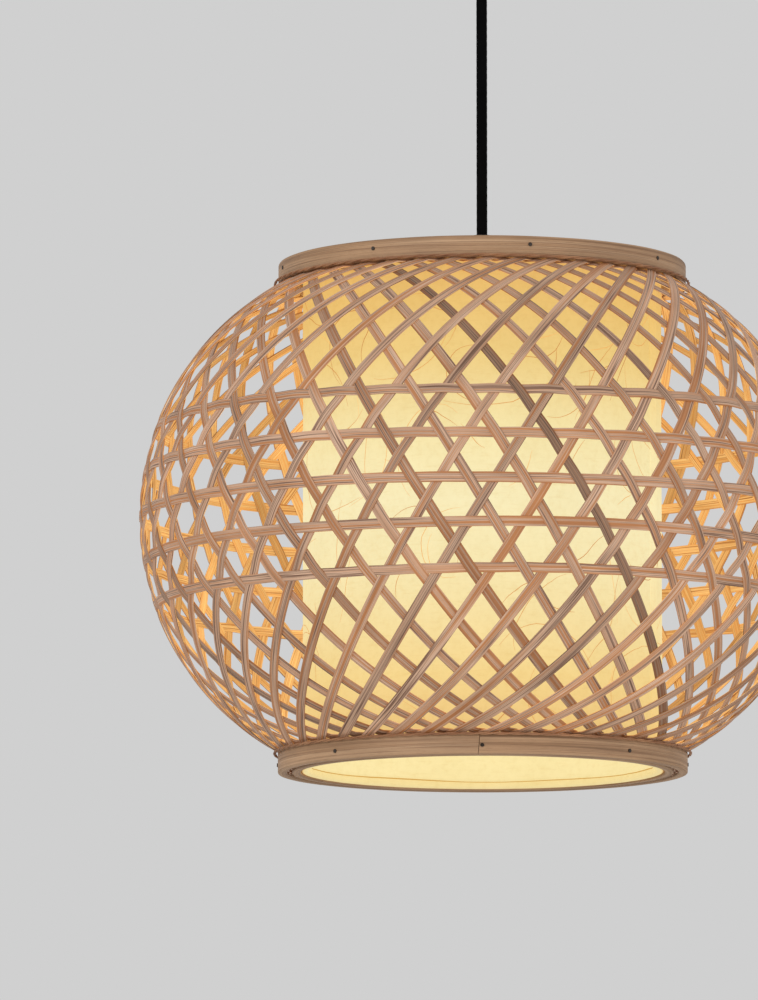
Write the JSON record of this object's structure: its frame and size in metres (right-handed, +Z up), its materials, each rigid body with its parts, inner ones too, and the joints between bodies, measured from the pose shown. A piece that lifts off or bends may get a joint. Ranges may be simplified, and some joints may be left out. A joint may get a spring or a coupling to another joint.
{
  "type": "pendant ceiling light",
  "caption": "Pendant ceiling light with an open-weave bamboo lantern shade, parchment inner diffuser, black woven cord and canopy.",
  "frame": {"origin": "on the ceiling plane, at the middle of the ceiling plate's flat back, on the cord's axis", "axes": "+Z up, so the light hangs below the origin; +X along the ceiling plate, -Y towards the viewer"},
  "size_m": [0.4, 0.4, 0.4985],
  "materials": {
    "steel_plate": "zinc plated",
    "black_paint": "satin",
    "black_plastic": "matte",
    "white_plastic": "satin",
    "brass": "satin",
    "nickel": "polished",
    "cord_fabric": "woven sleeve",
    "brown_wire": "satin",
    "blue_wire": "satin",
    "ceramic": "matte",
    "opal": "opal, lit",
    "rim_bamboo": "sanded",
    "splint_bamboo": "split, bare",
    "parchment": "translucent with fibres",
    "nail_steel": "dull"
  },
  "bodies": {
    "ceiling_fitting": {"ceiling_plate": "steel_plate", "canopy": "black_paint", "canopy_screws": "black_paint", "canopy_gland": "black_plastic", "gland_nut": "black_plastic", "gland_screw": "black_plastic", "terminal_block": "white_plastic", "terminal_screws": "brass", "lead_live": "brown_wire", "lead_neutral": "blue_wire", "cord_tail": "cord_fabric"},
    "cord_bend": {"cord_bend": "cord_fabric"},
    "pendant": {"cord": "cord_fabric", "cord_grip": "black_plastic", "grip_nut": "brass", "nipple": "brass", "cross_bar": "steel_plate", "cross_bar_screws": "steel_plate", "holder_cap": "black_plastic", "holder_leads": "brown_wire", "holder_skirt": "black_plastic", "holder_insert": "ceramic", "screw_shell": "brass", "top_outer_band": "rim_bamboo", "top_inner_band": "rim_bamboo", "bottom_outer_band": "rim_bamboo", "bottom_inner_band": "rim_bamboo", "top_nails": "nail_steel", "bottom_nails": "nail_steel", "splints_right": "splint_bamboo", "splints_left": "splint_bamboo", "hoop_1": "splint_bamboo", "hoop_2": "splint_bamboo", "hoop_3": "splint_bamboo", "hoop_4": "splint_bamboo", "hoop_5": "splint_bamboo", "top_binding": "splint_bamboo", "bottom_binding": "splint_bamboo", "diffuser": "parchment", "diffuser_seam": "parchment", "top_hem_wire": "steel_plate", "bottom_hem_wire": "steel_plate"},
    "contact": {"contact_tongue": "brass"},
    "bulb": {"bulb_tip": "nickel", "bulb_insulator": "black_plastic", "bulb_cap": "nickel", "bulb_housing": "white_plastic", "bulb_board": "white_plastic", "bulb_dome": "opal"}
  },
  "joints": [
    {"name": "swing_front_back", "type": "hinge", "parent": "ceiling_fitting", "child": "cord_bend", "pos_m": [0, 0, -0.033], "axis": [1, 0, 0], "range_deg": [-15, 15]},
    {"name": "swing_side", "type": "hinge", "parent": "cord_bend", "child": "pendant", "pos_m": [0, 0, -0.033], "axis": [0, 1, 0], "range_deg": [-15, 15]},
    {"name": "bulb_travel", "type": "slide", "parent": "pendant", "child": "contact", "axis": [0, 0, -1], "range_m": [0, 0.00183]},
    {"name": "bulb_turn", "type": "hinge", "parent": "contact", "child": "bulb", "pos_m": [0, 0, -0.35], "axis": [0, 0, -1], "range_deg": [0, 180]}
  ],
  "couplings": [
    {"joint": "bulb_travel", "follows": "bulb_turn", "m_per_rad": 0.00057757}
  ]
}
